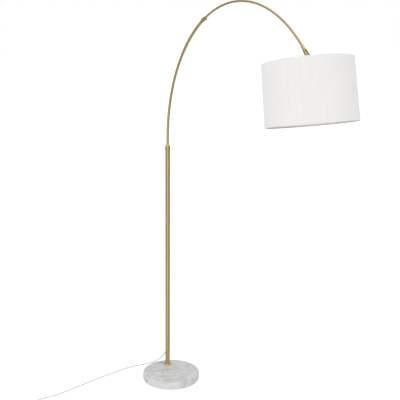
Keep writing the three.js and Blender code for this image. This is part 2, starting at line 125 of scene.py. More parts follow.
# The room's brighter sides: which way each lies, the cosines between which it comes up, and its strength
ROOM_LOBES = (
    ((0.82, -0.57, 0.0), 0.68, 0.95, 0.66),
    ((-0.49, -0.87, 0.0), -0.1, 0.9, 0.06),
    ((0.0, 0.0, 1.0), 0.25, 0.9, 0.85),
    ((0.0, 0.0, -1.0), 0.1, 0.85, 0.22),
)


# Mesh building

def ease(t):
    t = min(1, max(0, t))
    return t * t * (3 - 2 * t)


def skinned(rings, closed=False, girth=1.0):
    """A closed mesh over rings of points. A ring of one point is a pole, and an open end is capped.

    Its UVs are metres: round the rings, whose girth is given, and along from the first to the last.
    """
    points, first = [], []
    for ring in rings:
        first.append(len(points))
        points += [p * MM for p in ring]
    faces, uvs = [], []
    along = [0.0]
    for a, b in zip(rings, rings[1:] + rings[:1]):
        along.append(along[-1] + (Vector(b[0]) - Vector(a[0])).length * MM)
    for i in range(len(rings) if closed else len(rings) - 1):
        k = (i + 1) % len(rings)
        a, b = rings[i], rings[k]
        low, high = along[i], along[i + 1]
        sides = max(len(a), len(b))
        for j in range(sides):
            j2 = (j + 1) % sides
            u, u2 = j / sides * girth, (j + 1) / sides * girth
            if len(a) == 1:
                faces.append((first[i], first[k] + j2, first[k] + j))
                uvs += [(u, low), (u2, high), (u, high)]
            elif len(b) == 1:
                faces.append((first[i] + j, first[i] + j2, first[k]))
                uvs += [(u, low), (u2, low), (u, high)]
            else:
                faces.append((first[i] + j, first[i] + j2, first[k] + j2, first[k] + j))
                uvs += [(u, low), (u2, low), (u2, high), (u, high)]
    if not closed:
        for ring, start, turn in ((rings[0], first[0], -1), (rings[-1], first[-1], 1)):
            if len(ring) > 1:
                faces.append(tuple(range(start, start + len(ring)))[::turn])
                uvs += [(p.x * MM, p.y * MM) for p in ring][::turn]
    mesh = bpy.data.meshes.new("mesh")
    mesh.from_pydata(points, [], faces)
    layer = mesh.uv_layers.new(name="UVMap")
    layer.data.foreach_set("uv", [x for uv in uvs for x in uv])
    edit = bmesh.new()
    edit.from_mesh(mesh)
    bmesh.ops.recalc_face_normals(edit, faces=edit.faces)
    edit.to_mesh(mesh)
    edit.free()
    return mesh


def filleted(corners, closed=True, steps=5):
    """A profile's points, none of them twice. A corner is (radius, height) or (radius, height, fillet)."""
    points = []
    count = len(corners)
    for i, corner in enumerate(corners):
        here = Vector(corner[:2])
        fillet = corner[2] if len(corner) > 2 else 0
        if not fillet or (not closed and i in (0, count - 1)):
            points.append(here)
            continue
        back = Vector(corners[i - 1][:2]) - here
        on = Vector(corners[(i + 1) % count][:2]) - here
        start = here + back.normalized() * min(fillet, back.length / 2)
        end = here + on.normalized() * min(fillet, on.length / 2)
        for k in range(steps + 1):
            t = k / steps
            points.append(start * (1 - t) ** 2 + here * (2 * t * (1 - t)) + end * t * t)
    kept = []
    for i, p in enumerate(points):
        apart = (p - points[i - 1]).length > SPECK
        if apart or (i == 0 and not closed):
            kept.append(p)
    return kept


def divided(points, longest, closed):
    """A profile with points added, so that no step is longer than that."""
    out = []
    ends = points[1:] + points[:1] if closed else points[1:]
    for a, b in zip(points, ends):
        steps = max(1, math.ceil((b - a).length / longest))
        out += [a.lerp(b, k / steps) for k in range(steps)]
    return out if closed else out + [points[-1]]


def spun(corners, sides=64, closed=True, frame_at=Matrix.Identity(4), longest=None, swell=None, steps=5):
    """A profile turned about an axis.

    An open profile starts and ends on the axis. frame_at is the axis's frame, or a function from a
    height to one. swell gives what is added to the radius at an angle, a radius and a height.
    """
    points = filleted(corners, closed, steps)
    if longest:
        points = divided(points, longest, closed)
    rings = []
    for r, z in points:
        place = frame_at(z) if callable(frame_at) else frame_at @ Matrix.Translation((0, 0, z))
        if r < 1e-6:
            rings.append([place.translation.copy()])
            continue
        ring = []
        for j in range(sides):
            a = TURN * j / sides
            reach = r + (swell(a, r, z) if swell else 0)
            ring.append(place @ Vector((reach * math.cos(a), reach * math.sin(a), 0)))
        rings.append(ring)
    return skinned(rings, closed, girth=TURN * max(p[0] for p in points) * MM)


def cylinder(radius, low, high, place, sides=32):
    return spun([(0, low), (radius, low), (radius, high), (0, high)], sides, False, place)


def bar(a, b, radius, place, sides=16):
    """A round bar from a to b, in the frame place."""
    a, b = place @ Vector(a), place @ Vector(b)
    along = (b - a).to_track_quat("Z", "Y").to_matrix().to_4x4()
    return cylinder(radius, 0, (b - a).length, Matrix.Translation(a) @ along, sides)


def block(low, high, place):
    (x, y, z), (x2, y2, z2) = low, high
    corners = ((x, y), (x2, y), (x2, y2), (x, y2))
    return skinned([[place @ Vector((*corner, height)) for corner in corners] for height in (z, z2)])


def lofted(stations, place, sides=48):
    """A mesh over superellipse sections. A station is (height, half x, half y, power, middle y)."""
    rings = []
    for z, wide, deep, power, y in stations:
        ring = []
        for j in range(sides):
            a = TURN * (j + 0.5) / sides
            c, s = math.cos(a), math.sin(a)
            across = math.copysign(abs(c) ** (2 / power), c) * wide
            up = math.copysign(abs(s) ** (2 / power), s) * deep
            ring.append(place @ Vector((across, y + up, z)))
        rings.append(ring)
    return skinned(rings)


def lying(place):
    """The frame for a loft that runs along place's X, with its x across and its y up."""
    return place @ Matrix.Rotation(math.pi / 2, 4, "Y") @ Matrix.Rotation(math.pi / 2, 4, "Z")


def combined(how, first, others):
    """The first mesh with the others cut from it or joined to it."""
    holder = bpy.data.objects.new("holder", first)
    bpy.context.scene.collection.objects.link(holder)
    tools = []
    for other in others:
        tool = bpy.data.objects.new("tool", other)
        bpy.context.scene.collection.objects.link(tool)
        step = holder.modifiers.new("step", "BOOLEAN")
        step.operation, step.solver, step.object = how, "EXACT", tool
        tools.append(tool)
    whole = bpy.data.meshes.new_from_object(holder.evaluated_get(bpy.context.evaluated_depsgraph_get()))
    for thing in (holder, *tools):
        bpy.data.objects.remove(thing)
    edit = bmesh.new()
    edit.from_mesh(whole)
    bmesh.ops.remove_doubles(edit, verts=edit.verts, dist=SPECK * MM)
    bmesh.ops.dissolve_degenerate(edit, edges=edit.edges, dist=SPECK * MM)
    edit.to_mesh(whole)
    edit.free()
    return whole


def cut(first, *others):
    return combined("DIFFERENCE", first, others)


def joined(first, *others):
    return combined("UNION", first, others)


def smooth(points, step):
    """Points about a step apart on the smooth curve through these: a centripetal Catmull-Rom spline."""
    line = [Vector(p) for p in points]
    line = [2 * line[0] - line[1], *line, 2 * line[-1] - line[-2]]
    out = []
    for a, b, c, d in zip(line, line[1:], line[2:], line[3:]):
        before, span, after = ((q - p).length ** 0.5 for p, q in ((a, b), (b, c), (c, d)))
        leave = (b - a) / before - (c - a) / (before + span) + (c - b) / span
        arrive = (c - b) / span - (d - b) / (span + after) + (d - c) / after
        count = max(1, round((c - b).length / step))
        for k in range(count):
            t = k / count
            out.append(
                b * (2 * t**3 - 3 * t**2 + 1) + leave * span * (t**3 - 2 * t**2 + t)
                + c * (3 * t**2 - 2 * t**3) + arrive * span * (t**3 - t**2)
            )
    return out + [line[-2]]


def tube(path, radius, sides=14):
    """A round tube along a path, without twist."""
    normal = (path[1] - path[0]).normalized().orthogonal().normalized()
    rings = []
    for before, p, after in zip(path[:1] + path, path, path[1:] + path[-1:]):
        ahead = (after - before).normalized()
        normal = (normal - ahead * normal.dot(ahead)).normalized()
        side = ahead.cross(normal)
        turns = (TURN * j / sides for j in range(sides))
        rings.append([p + (normal * math.cos(a) + side * math.sin(a)) * radius for a in turns])
    return skinned(rings, girth=TURN * MM * radius)


# Materials

class Nodes:
    """A node tree, and short ways to add to it."""

    def __init__(self, tree):
        self.tree = tree

    def node(self, kind, inputs=None, **settings):
        made = self.tree.nodes.new("ShaderNode" + kind)
        for key, value in settings.items():
            setattr(made, key, value)
        for key, value in (inputs or {}).items():
            if isinstance(value, bpy.types.NodeSocket):
                self.tree.links.new(value, made.inputs[key])
            else:
                made.inputs[key].default_value = value
        return made

    def maths(self, how, a, b=0.0):
        return self.node("Math", {0: a, 1: b}, operation=how).outputs["Value"]

    def ranged(self, value, low, high, to_low, to_high, **settings):
        inputs = {"Value": value, "From Min": low, "From Max": high, "To Min": to_low, "To Max": to_high}
        return self.node("MapRange", inputs, **settings).outputs["Result"]


class Finish(Nodes):
    """A Principled material: nodes for what varies over the surface, and plain values for what doesn't."""

    def __init__(self, name, **uniform):
        self.material = bpy.data.materials.new(name)
        self.material.use_nodes = True
        super().__init__(self.material.node_tree)
        self.shader = self.tree.nodes["Principled BSDF"]
        for socket, value in uniform.items():
            self.shader.inputs[socket.replace("_", " ")].default_value = value

    def place(self, scale=(1, 1, 1), on_surface=False, turn=(0, 0, 0)):
        """Coordinates in metres times scale: in the piece's own space, or round and along its surface."""
        if on_surface:
            source = self.node("UVMap", uv_map="UVMap").outputs["UV"]
        else:
            source = self.node("TexCoord").outputs["Object"]
        return self.node("Mapping", {"Vector": source, "Scale": scale, "Rotation": turn}).outputs["Vector"]

    def noise(self, where, scale, detail, rough, bend=0.0):
        inputs = {"Vector": where, "Scale": scale, "Detail": detail, "Roughness": rough, "Distortion": bend}
        return self.node("TexNoise", inputs).outputs["Fac"]

    def spots(self, scale, detail, rough, bend=0.0):
        """Noise in the piece's own space, with about so many spots to a metre."""
        return self.noise(self.place(), scale, detail, rough, bend)

    def streaks(self, around, along, detail, rough):
        """Noise on the piece's surface, with about so many spots to a metre round it and along it."""
        return self.noise(self.place((around, along, 1), on_surface=True), 1, detail, rough)

    def waves(self, scale, direction, bend):
        """Waves on the piece's surface, X round it or Y along it."""
        inputs = {"Vector": self.place(on_surface=True), "Scale": scale, "Distortion": bend, "Detail": 1.0}
        return self.node("TexWave", inputs, bands_direction=direction).outputs["Fac"]

    def mixed(self, share, a, b):
        """A colour between two. Each is a socket, or plain red, green and blue."""
        a, b = (colour if isinstance(colour, bpy.types.NodeSocket) else (*colour, 1) for colour in (a, b))
        return self.node("Mix", {0: share, 6: a, 7: b}, data_type="RGBA").outputs[2]

    def feed(self, socket, value):
        self.tree.links.new(value, self.shader.inputs[socket])

    def relief(self, height, depth, strength=1.0):
        """Bumps of that depth in millimetres."""
        inputs = {"Height": height, "Strength": strength, "Distance": depth * MM}
        self.feed("Normal", self.node("Bump", inputs).outputs["Normal"])


def brass(name, dark, pale):
    """Satin plated brass: fine marks round the tube, a little cloudiness, and brighter worn edges."""
    f = Finish(name, Metallic=1.0, IOR=1.45)
    marked, worn = ([by * c for c in pale] for by in (1.05, 1.15))
    clouds = f.spots(35, 4, 0.6)
    marks = f.streaks(60, 2600, 2, 0.7)
    edges = f.ranged(f.node("NewGeometry").outputs["Pointiness"], 0.52, 0.62, 0, 1)
    tint = f.mixed(clouds, dark, pale)
    tint = f.mixed(f.ranged(marks, 0.3, 0.7, 0, 0.25), tint, marked)
    f.feed("Base Color", f.mixed(edges, tint, worn))
    rough = f.maths("ADD", f.ranged(clouds, 0.3, 0.7, 0.27, 0.34), f.ranged(marks, 0.3, 0.7, -0.03, 0.05))
    f.feed("Roughness", rough)
    f.relief(f.maths("ADD", marks, f.maths("MULTIPLY", clouds, 0.4)), 0.012, 0.6)
    return f.material


def steel():
    """Bright zinc plated steel, with a faint blue and yellow bloom and fine scratches."""
    f = Finish("zinc_steel", Metallic=1.0)
    bloom = f.spots(60, 3, 0.5)
    scratches = f.noise(f.place((900, 60, 900)), 1, 3, 0.7)
    f.feed("Base Color", f.mixed(bloom, (0.50, 0.52, 0.56), (0.66, 0.64, 0.58)))
    f.feed("Roughness", f.ranged(scratches, 0.25, 0.75, 0.25, 0.5))
    f.relief(scratches, 0.01, 0.7)
    return f.material


def marble():
    """Polished white marble: soft grey clouds drawn out in one direction, thin veins, small dark flecks."""
    f = Finish("grey_white_marble", IOR=1.5)
    drawn_out = f.place((1, 0.7, 1), turn=(0, 0, math.radians(28)))
    drift = f.noise(drawn_out, 9, 3, 0.5, 1.4)
    clouds = f.noise(drawn_out, 24, 6, 0.6, 0.9)
    flecks = f.noise(f.place((1, 0.5, 1)), 48, 3, 0.55, 0.5)
    grains = f.spots(900, 2, 0.6)
    ridge = f.maths("ABSOLUTE", f.maths("SUBTRACT", f.noise(drawn_out, 12, 5, 0.58, 1.1), 0.5))
    veins = f.maths("MULTIPLY", f.ranged(ridge, 0, 0.018, 1, 0), f.ranged(drift, 0.3, 0.6, 0.4, 0.05))
    tone = f.mixed(f.ranged(clouds, 0.34, 0.66, 0, 1), (0.49, 0.495, 0.50), (0.655, 0.655, 0.645))
    tone = f.mixed(f.ranged(drift, 0.42, 0.62, 0, 0.6), tone, (0.72, 0.72, 0.71))
    tone = f.mixed(veins, tone, (0.34, 0.35, 0.355))
    tone = f.mixed(f.ranged(flecks, 0.61, 0.71, 0, 0.85), tone, (0.24, 0.245, 0.25))
    f.feed("Base Color", f.mixed(f.ranged(grains, 0.3, 0.7, 0, 0.12), tone, (0.84, 0.84, 0.83)))
    f.feed("Roughness", f.ranged(grains, 0.3, 0.7, 0.09, 0.17))
    f.relief(f.spots(45, 2, 0.4), 0.02, 0.5)
    return f.material


def felt():
    """Dark pressed felt, with fibres lying all ways."""
    f = Finish("grey_felt", Sheen_Weight=0.4, Specular_IOR_Level=0.2)
    fibres = f.spots(1800, 4, 0.75, 1.5)
    tufts = f.spots(220, 3, 0.6)
    nap = f.maths("MULTIPLY", fibres, tufts)
    f.feed("Base Color", f.mixed(nap, (0.02, 0.02, 0.022), (0.19, 0.19, 0.195)))
    f.feed("Roughness", f.ranged(fibres, 0.2, 0.8, 0.8, 1.0))
    f.relief(fibres, 0.3)
    return f.material


def plastic(name, pale, dark, rough):
    """Moulded plastic: an even colour with faint flow marks, and a fine pebbled skin."""
    f = Finish(name, IOR=1.49)
    flow = f.spots(40, 3, 0.5, 1.0)
    skin = f.spots(2400, 2, 0.6)
    f.feed("Base Color", f.mixed(f.ranged(flow, 0.3, 0.7, 0, 1), dark, pale))
    pebbled = f.ranged(skin, 0.3, 0.7, rough - 0.05, rough + 0.07)
    f.feed("Roughness", f.maths("ADD", pebbled, f.ranged(flow, 0.3, 0.7, -0.03, 0.03)))
    f.relief(skin, 0.02)
    return f.material


def lead():
    """Off-white PVC sheath: faint lines along it from the die, and a little dust."""
    f = Finish("white_lead", IOR=1.5)
    dust = f.spots(55, 4, 0.6)
    lines = f.streaks(1500, 25, 2, 0.6)
    f.feed("Base Color", f.mixed(f.ranged(dust, 0.35, 0.7, 0, 1), (0.55, 0.555, 0.565), (0.64, 0.64, 0.645)))
    f.feed("Roughness", f.ranged(lines, 0.3, 0.7, 0.36, 0.52))
    f.relief(lines, 0.03)
    return f.material


def cloth():
    """Off-white shade cloth: a plain weave with slubs that run up the shade."""
    f = Finish("shade_linen", Sheen_Weight=0.12, Specular_IOR_Level=0.25)
    weave = f.maths("MULTIPLY", f.waves(420, "X", 0.6), f.waves(520, "Y", 0.6))
    slubs = f.streaks(420, 9, 3, 0.65)
    thick = f.streaks(95, 3.2, 2, 0.5)
    tone = f.mixed(f.ranged(slubs, 0.32, 0.68, 0, 1), (0.80, 0.78, 0.762), (0.848, 0.834, 0.82))
    tone = f.mixed(f.ranged(thick, 0.35, 0.65, 0, 0.25), tone, (0.89, 0.873, 0.86))
    f.feed("Base Color", f.mixed(f.ranged(weave, 0, 1, 0, 0.2), tone, (0.95, 0.943, 0.93)))
    f.feed("Roughness", f.ranged(slubs, 0.3, 0.7, 0.82, 0.95))
    f.relief(f.maths("ADD", f.maths("MULTIPLY", weave, 0.9), slubs), 0.22, 0.8)
    return f.material


def lining():
    """White styrene lining: smooth, faintly mottled, with the cloth's grain just showing through."""
    f = Finish("styrene_lining", IOR=1.55)
    grain = f.streaks(420, 9, 2, 0.6)
    f.feed("Base Color", f.mixed(f.spots(30, 4, 0.6), (0.87, 0.865, 0.85), (0.93, 0.925, 0.915)))
    f.feed("Roughness", f.ranged(grain, 0.3, 0.7, 0.42, 0.56))
    f.relief(grain, 0.05)
    return f.material


def opal():
    """Opal white glass, slightly uneven, as blown."""
    f = Finish("opal_glass", IOR=1.5, Subsurface_Weight=0.25, Subsurface_Scale=0.01,
               Subsurface_Radius=(1, 0.9, 0.8))
    swirl = f.spots(25, 3, 0.5, 1.2)
    f.feed("Base Color", f.mixed(swirl, (0.90, 0.89, 0.87), (0.94, 0.935, 0.92)))
    f.feed("Roughness", f.ranged(swirl, 0.3, 0.7, 0.12, 0.2))
    f.relief(swirl, 0.05)
    return f.material


FINISHES = {
    "brass": brass("satin_brass", (0.57, 0.397, 0.19), (0.685, 0.488, 0.245)),
    "steel": steel(),
    "marble": marble(),
    "felt": felt(),
    "nylon": plastic("ivory_nylon", (0.80, 0.79, 0.75), (0.74, 0.73, 0.69), 0.5),
    "lead": lead(),
    "shade_cloth": cloth(),
    "shade_lining": lining(),
    "phenolic": plastic("white_phenolic", (0.85, 0.85, 0.835), (0.80, 0.80, 0.785), 0.3),
    "opal_glass": opal(),
}

# Copies of the post's plating: the arm's and the head's is a shade yellower, and both copies are darkened as
# painted shade for the dimmer light on them, the rod's most.
SHADED_ARM_BRASS = brass("satin_brass_painted_shade_arm", (0.52, 0.39, 0.155), (0.63, 0.475, 0.20))
SHADED_ROD_BRASS = brass("satin_brass_painted_shade_rod", (0.47, 0.35, 0.155), (0.57, 0.43, 0.20))


# Pieces

def piece(name, mesh, body, slot, *nodes, crease=34, finish=None):
    """Makes a mesh a piece of the object, in place of those CAD nodes.

    It rides on the body, and is shaded smooth except over creases sharper than so many degrees.
    """
    mesh.name = name
    thing = bpy.data.objects.new(name, mesh)
    bpy.context.scene.collection.objects.link(thing)
    mesh.materials.clear()
    mesh.materials.append(finish or FINISHES[slot])
    mesh.shade_smooth()
    mesh.set_sharp_from_angle(angle=math.radians(crease))
    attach(thing, body)
    if nodes:
        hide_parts(*nodes)
    return thing


def fine(node, mesh):
    """A finer mesh in the place of a CAD node."""
    body, slot = BODY_OF[node], SLOT_OF[node]
    finish = FINISHES[slot]
    # The arm, head and rod get the darker copies of the plating, which carry painted shade.
    if slot == "brass" and body != "stand":
        finish = SHADED_ROD_BRASS if node == "arc_rod" else SHADED_ARM_BRASS
    return piece("fine_" + node, mesh, body, slot, node, finish=finish)


def make_base():
    low, top = BASE_LOW.z, BASE_TOP
    outline = [(0, low), (BASE_RADIUS, low, 4), (BASE_RADIUS, top, 8), (0, top)]
    pocket = cylinder(22, -1, 16, POST, 48)
    bore = cylinder(6.5, -1, top + 1, POST)
    fine("marble_base", cut(spun(outline, 160, False, steps=8), pocket, bore))
    felt_radius, felt_top = 143, 2
    fine("felt_pad", spun([
        (0, 0), (felt_radius, 0, 0.5), (felt_radius, felt_top, 0.8), (0, felt_top),
    ], 128, False))


def make_post():
    floor = BASE_TOP + GAP
    bore = POST_RADIUS + GAP
    fine("post_rosette", spun([
        (bore, floor, 0.1), (20, floor, 0.3), (20, floor + 2.8, 1), (17.4, floor + 5.1, 1.2),
        (15.4, floor + 6, 0.6), (bore, floor + 6, 0.5),
    ], 96, frame_at=POST))
    split = box_mm("post_lower_tube")[1].z
    lower = spun([
        (POST_BORE, floor), (POST_RADIUS, floor, 0.2), (POST_RADIUS, split, 0.45), (POST_BORE, split),
    ], 64, frame_at=POST)
    relief_hole = cylinder(4.9, 2, 30, EXIT)
    fine("post_lower_tube", cut(lower, relief_hole))
    foot, head = (corner.z for corner in box_mm("post_upper_tube"))
    fine("post_upper_tube", spun([
        (POST_BORE, foot), (POST_RADIUS, foot, 0.45), (POST_RADIUS, head, 0.3), (POST_BORE, head),
    ], 64, frame_at=POST))
    make_cap(head + GAP)


def make_cap(collar):
    """The domed cap. Its skirt goes down inside the post, and its collar rests on the post's end."""
    skirt, top = (corner.z for corner in box_mm("post_cap"))
    skirt_radius, radius, bore = 10.5, 13, 6.65
    cap = spun([
        (bore, skirt), (skirt_radius, skirt, 0.3), (skirt_radius, collar), (12.3, collar, 0.2),
        (radius, collar + 1.5, 0.6), (radius, top - 13, 4), (12.4, top - 9, 2.4), (10.6, top - 5, 2.4),
        (8.4, top - 1.5, 1.4), (7.5, top, 0.4), (bore, top, 0.3),
    ], 96, frame_at=POST)
    screw = POST @ Matrix.Translation((0, 0, collar + 7)) @ Matrix.Rotation(-math.pi / 2, 4, "Y")
    screw_hole = cylinder(2.8, 5, 20, screw, 24)
    fine("post_cap", cut(cap, screw_hole))


def make_strain_relief():
    """A moulded cone with grooves, so that it bends with the lead."""
    start, end = 9.6, 34.7
    first, pitch, deep = 17.5, 3.1, 0.9
    grooves = []
    for i in range(5):
        at = first + pitch * i
        thick = 4.8 - 1.2 * (at - 15) / 20
        grooves += [
            (thick, at, 0.3), (thick - deep, at + 0.5, 0.3),
            (thick - deep, at + 1.1, 0.3), (thick - 0.1, at + 1.6, 0.3),
        ]
    bore = CORD_RADIUS + 0.1
    return fine("cord_strain_relief", spun([
        (bore, start), (4.5, start, 0.3), (4.5, 12.3), (6.5, 12.3, 0.3), (6.5, 13.9, 0.6), (4.8, 15.2, 0.5),
        *grooves, (3.6, end, 0.5), (bore, end, 0.1),
    ], 48, frame_at=EXIT, steps=3))


def on_arm(height):
    """The arm's frame at a distance along it from where its arc begins: Z runs along it and Y across it."""
    if height < 0:
        return Matrix.Translation((POST_AXIS.x, POST_AXIS.y, ARC_CENTRE.z + height))
    angle = height / ARC_RADIUS
    middle = ARC_CENTRE + ARC_RADIUS * Vector((-math.cos(angle), 0, math.sin(angle)))
    return Matrix.Translation(middle) @ Matrix.Rotation(angle, 4, "Y")


def bent_tube(node, bore, radius, start, end, end_fillets):
    """A tube along the arc, between two distances from where it begins."""
    at_start, at_end = end_fillets
    return fine(node, spun([
        (bore, start), (radius, start, at_start), (radius, end, at_end), (bore, end),
    ], 32, frame_at=on_arm, longest=7))


def make_arm():
    end = TUBE_END * ARC_RADIUS
    bent_tube("arm_tube", ARM_BORE, ARM_RADIUS, box_mm("arm_tube")[0].z - ARC_CENTRE.z, end, (0.3, 0.2))
    collar = on_arm(end)
    screw = collar @ Matrix.Translation((0, 0, 5)) @ Matrix.Rotation(-math.pi / 2, 4, "X")
    barrel = spun([
        (7, -15), (8.4, -15, 0.3), (9, -14.2, 0.6), (9, 11.2, 2), (7.4, 15, 0.8), (5.35, 15, 0.3),
        (5.35, 13.3), (7, 13.3),
    ], 72, frame_at=collar)
    screw_hole = cylinder(2.3, 3, 12, screw, 24)
    fine("clamp_collar", cut(barrel, screw_hole))
    knurled_from, knurl_depth, knurls = 4.15, 0.22, 20

    def knurl(angle, radius, height):
        return knurl_depth * math.cos(knurls * angle) if radius > knurled_from else 0

    fine("clamp_screw", spun([
        (0, 5.6), (1.6, 5.6, 0.2), (2, 6.2, 0.2), (2, 9.4), (3.7, 9.4, 0.2), (4.2, 9.9, 0.1),
        (4.2, 13.8, 0.1), (3.6, 14.4, 0.3), (1.4, 14.4, 0.5), (0, 14),
    ], 120, False, screw, swell=knurl))


def make_rod():
    bent_tube("arc_rod", ROD_BORE, ROD_RADIUS, ROD_START * ARC_RADIUS, ROD_END * ARC_RADIUS, (0.2, 0.2))
    ear_width = 7.4
    make_fork(ear_width)
    make_bolt_and_nut(ear_width + GAP)


def make_fork(ear_width):
    """A fork whose two flat ears, rounded about the pin, taper into a round neck on the rod's end."""
    ear, neck = 6.4, 5.8
    shoulder, reach, length = 8, 34, 46
    slot, root = 3.5, 24
    taper_length = reach - 2 - shoulder
    heights = [-ear * 0.998] + [-ear * math.cos(math.pi / 2 * k / 10) for k in range(1, 10)]
    heights += [0, 6, shoulder] + [shoulder + taper_length * k / 12 for k in range(1, 13)]
    heights += [reach + 4, length - 0.4]
    stations = []
    for z in heights:
        taper = ease((z - shoulder) / taper_length)
        round_end = math.sqrt(1 - (z / ear) ** 2) if z < 0 else 1
        half = (ear + (neck - ear) * taper) * round_end
        stations.append((z, half, ear_width + (neck - ear_width) * taper, 5 - 3 * taper, 0))
    stations.append((length, neck - 0.4, neck - 0.4, 2, 0))
    pin_hole = cylinder(PIN_HOLE, -20, 20, FORK @ ACROSS)
    between_ears = block((-15, -slot, -13), (15, slot, root), FORK)
    rod_socket = cylinder(ROD_RADIUS + 0.45, reach - GAP, reach + 20, FORK)
    lead_bore = cylinder(3, root - 1, reach + 5, FORK, 24)
    screw_hole = cylinder(1.8, 3, 10, FORK @ Matrix.Translation((0, 0, reach + 7)) @ ACROSS, 20)
    whole = lofted(stations, FORK, 64)
    fine("rod_fork", cut(whole, pin_hole, between_ears, rod_socket, lead_bore, screw_hole))


def make_bolt_and_nut(face):
    """The knuckle's bolt and its domed nut, on the ears' outer faces."""
    back = FORK @ ACROSS @ Matrix.Rotation(math.pi, 4, "X")
    head = spun([
        (0, 0), (4.8, 0, 0.2), (4.8, 1.3, 0.5), (3.7, 2.4, 0.7), (1.9, 3, 0.4), (0, 3.2),
    ], 64, False, back @ Matrix.Translation((0, 0, face)))
    shank = spun([
        (0, -face - 0.5), (2.5, -face - 0.5), (2.5, face + 2, 0.3), (0, face + 2),
    ], 32, False, FORK @ ACROSS)
    socket = cylinder(1.45, face + 1.6, face + 6, back, 6)
    fine("knuckle_bolt", cut(joined(head, shank), socket))
    nut_at = FORK @ ACROSS @ Matrix.Translation((0, 0, face))
    nut = spun([
        (0, 0), (4.8, 0, 0.2), (4.8, 1.6, 0.5), (3.7, 3, 0.7), (1.9, 3.8, 0.4), (0, 4),
    ], 64, False, nut_at)
    thread_hole = cylinder(2.9, -1, 2.5, nut_at)
    fine("knuckle_nut", cut(nut, thread_hole))


def make_knuckle_and_cup():
    """The tongue between the fork's ears, with its hollow stem, and the cup that the stem goes into."""
    eye, half_thick, reach = 6, 3.2, 31
    quarter = [math.pi / 2 * k / 9 for k in range(1, 9)]
    stations = [(eye * 0.998, eye * 0.06, half_thick, 6, 0)]
    for z in (eye * math.cos(a) for a in quarter):
        stations.append((z, math.sqrt(max(0, eye * eye - z * z)), half_thick, 6, 0))
    stations += [(-2 * k, eye - 1.2 * ease(k / 7), half_thick, 6, 0) for k in range(1, 8)]
    stem = spun([
        (0, -reach), (5, -reach, 0.4), (5, -20), (6.6, -20, 0.5), (6.6, -14.5, 0.6), (5.6, -13.5, 0.5),
        (0, -13.5),
    ], 48, False, HEAD)
    whole = joined(lofted(stations, HEAD), stem)
    pin_hole = cylinder(PIN_HOLE, -6, 6, HEAD @ ACROSS)
    lead_bore = cylinder(3, -reach - 1, -14.7, HEAD, 24)
    fine("knuckle_tongue", cut(whole, pin_hole, lead_bore))
    fine("socket_cup", spun([
        (19.8, -46), (21, -46, 0.4), (21, -32, 3), (19.6, -27, 2), (15.5, -23.4, 2), (10, -20.8, 1.5),
        (5.4, -20.8, 0.3), (5.4, -22), (9.6, -22, 1.5), (14.8, -24.6, 2), (18.5, -27.8, 2),
        (19.8, -32.4, 1.5),
    ], 96, frame_at=HEAD))


def make_lampholder():
    """The lampholder with its outer thread, and the ring nut on it that holds the shade."""
    pitch, lowest, crest, trough = 2.5, -90.5, 19.9, 19.3
    thread = []
    for z in (lowest + pitch * i for i in range(12)):
        thread += [(trough, z, 0.2), (crest, z + pitch / 2, 0.3)]
    fine("lampholder", spun([
        (3.4, -34), (3.4, -62), (14.7, -62), (14.7, -92, 0.4), (19.4, -92, 0.5), *thread,
        (19.6, -60), (19.6, -50), (22.5, -50, 0.4), (22.5, -46.4, 0.4), (19.4, -46.4), (19.4, -34, 0.5),
    ], 72, frame_at=HEAD, steps=3))
    grip_from, grip_depth, grips = 23.5, 0.45, 24

    def grip(angle, radius, height):
        return grip_depth * math.cos(grips * angle) if radius > grip_from else 0

    fine("shade_ring_nut", spun([
        (20.5, -60, 0.3), (24.2, -60, 0.6), (24.2, -52.6, 0.6), (20.5, -52.6, 0.3),
    ], 144, frame_at=HEAD, swell=grip))


def make_bulb():
    """A round globe with a neck, blown 1 mm thick, open where its cap goes on."""
    middle, radius = -136, 30
    turns = (math.radians(6 * k) for k in range(1, 22))
    ball = [(radius * math.sin(a), middle - radius * math.cos(a)) for a in turns]
    outer = [(0, middle - radius), *ball, (16.5, -108.5, 3), (14.2, -102, 3), (12.8, -91.3, 0.3)]
    inner = [(max(0, r - 1), z + (1 if r < 1 else 0)) for r, z, *_ in reversed(outer)]
    fine("bulb_glass", spun(outer + inner, 72, False, HEAD))


def make_shade():
    """Cloth over a stiff lining, with a folded hem at each end and one lapped seam up the shade."""
    (top, high), (foot, low) = SHADE_TOP, SHADE_FOOT
    cloth_wall, hem, fold = 0.9, 9, 0.45
    slope = (top - foot) / (high - low)
    at_low_hem, at_high_hem = foot + slope * hem, top - slope * hem
    seam, lap, lap_edge, lap_thick = math.pi, 5.5 / top, 1.2 / top, 0.4

    def lapped(angle, radius, height):
        near = 1 - ease((abs(angle - seam) - lap) / lap_edge)
        outside = radius > foot + slope * (height - low) - 0.5
        return lap_thick * near if outside else 0

    cover = spun([
        (foot - cloth_wall, low, 0.3), (foot + fold, low, 0.6), (at_low_hem + fold, low + hem, 0.4),
        (at_low_hem, low + hem + 0.5, 0.4), (at_high_hem, high - hem - 0.5, 0.4),
        (at_high_hem + fold, high - hem, 0.4), (top + fold, high, 0.6), (top - cloth_wall, high, 0.3),
    ], 288, frame_at=HEAD, longest=24, swell=lapped, steps=4)
    cover = fine("shade_cover", cover)
    inset, wall = cloth_wall + GAP, 0.7
    outer_foot, outer_top = foot - inset, top - inset
    fine("shade_lining", spun([
        (outer_foot - wall, low, 0.2), (outer_foot, low, 0.2), (outer_top, high, 0.2),
        (outer_top - wall, high, 0.2),
    ], 192, frame_at=HEAD, longest=40, steps=3))
    wire = 2
    ring_inset = inset + wall + GAP + wire
    fine("shade_lower_ring", hoop(foot - ring_inset - 0.1, low + 3, wire))
    make_spider(top - ring_inset, high - 3, wire)


def hoop(radius, height, wire):
    """A wire ring about the head's axis."""
    turns = (TURN * k / 14 for k in range(14))
    section = [(radius + wire * math.cos(a), height + wire * math.sin(a)) for a in turns]
    return spun(section, 160, frame_at=HEAD)


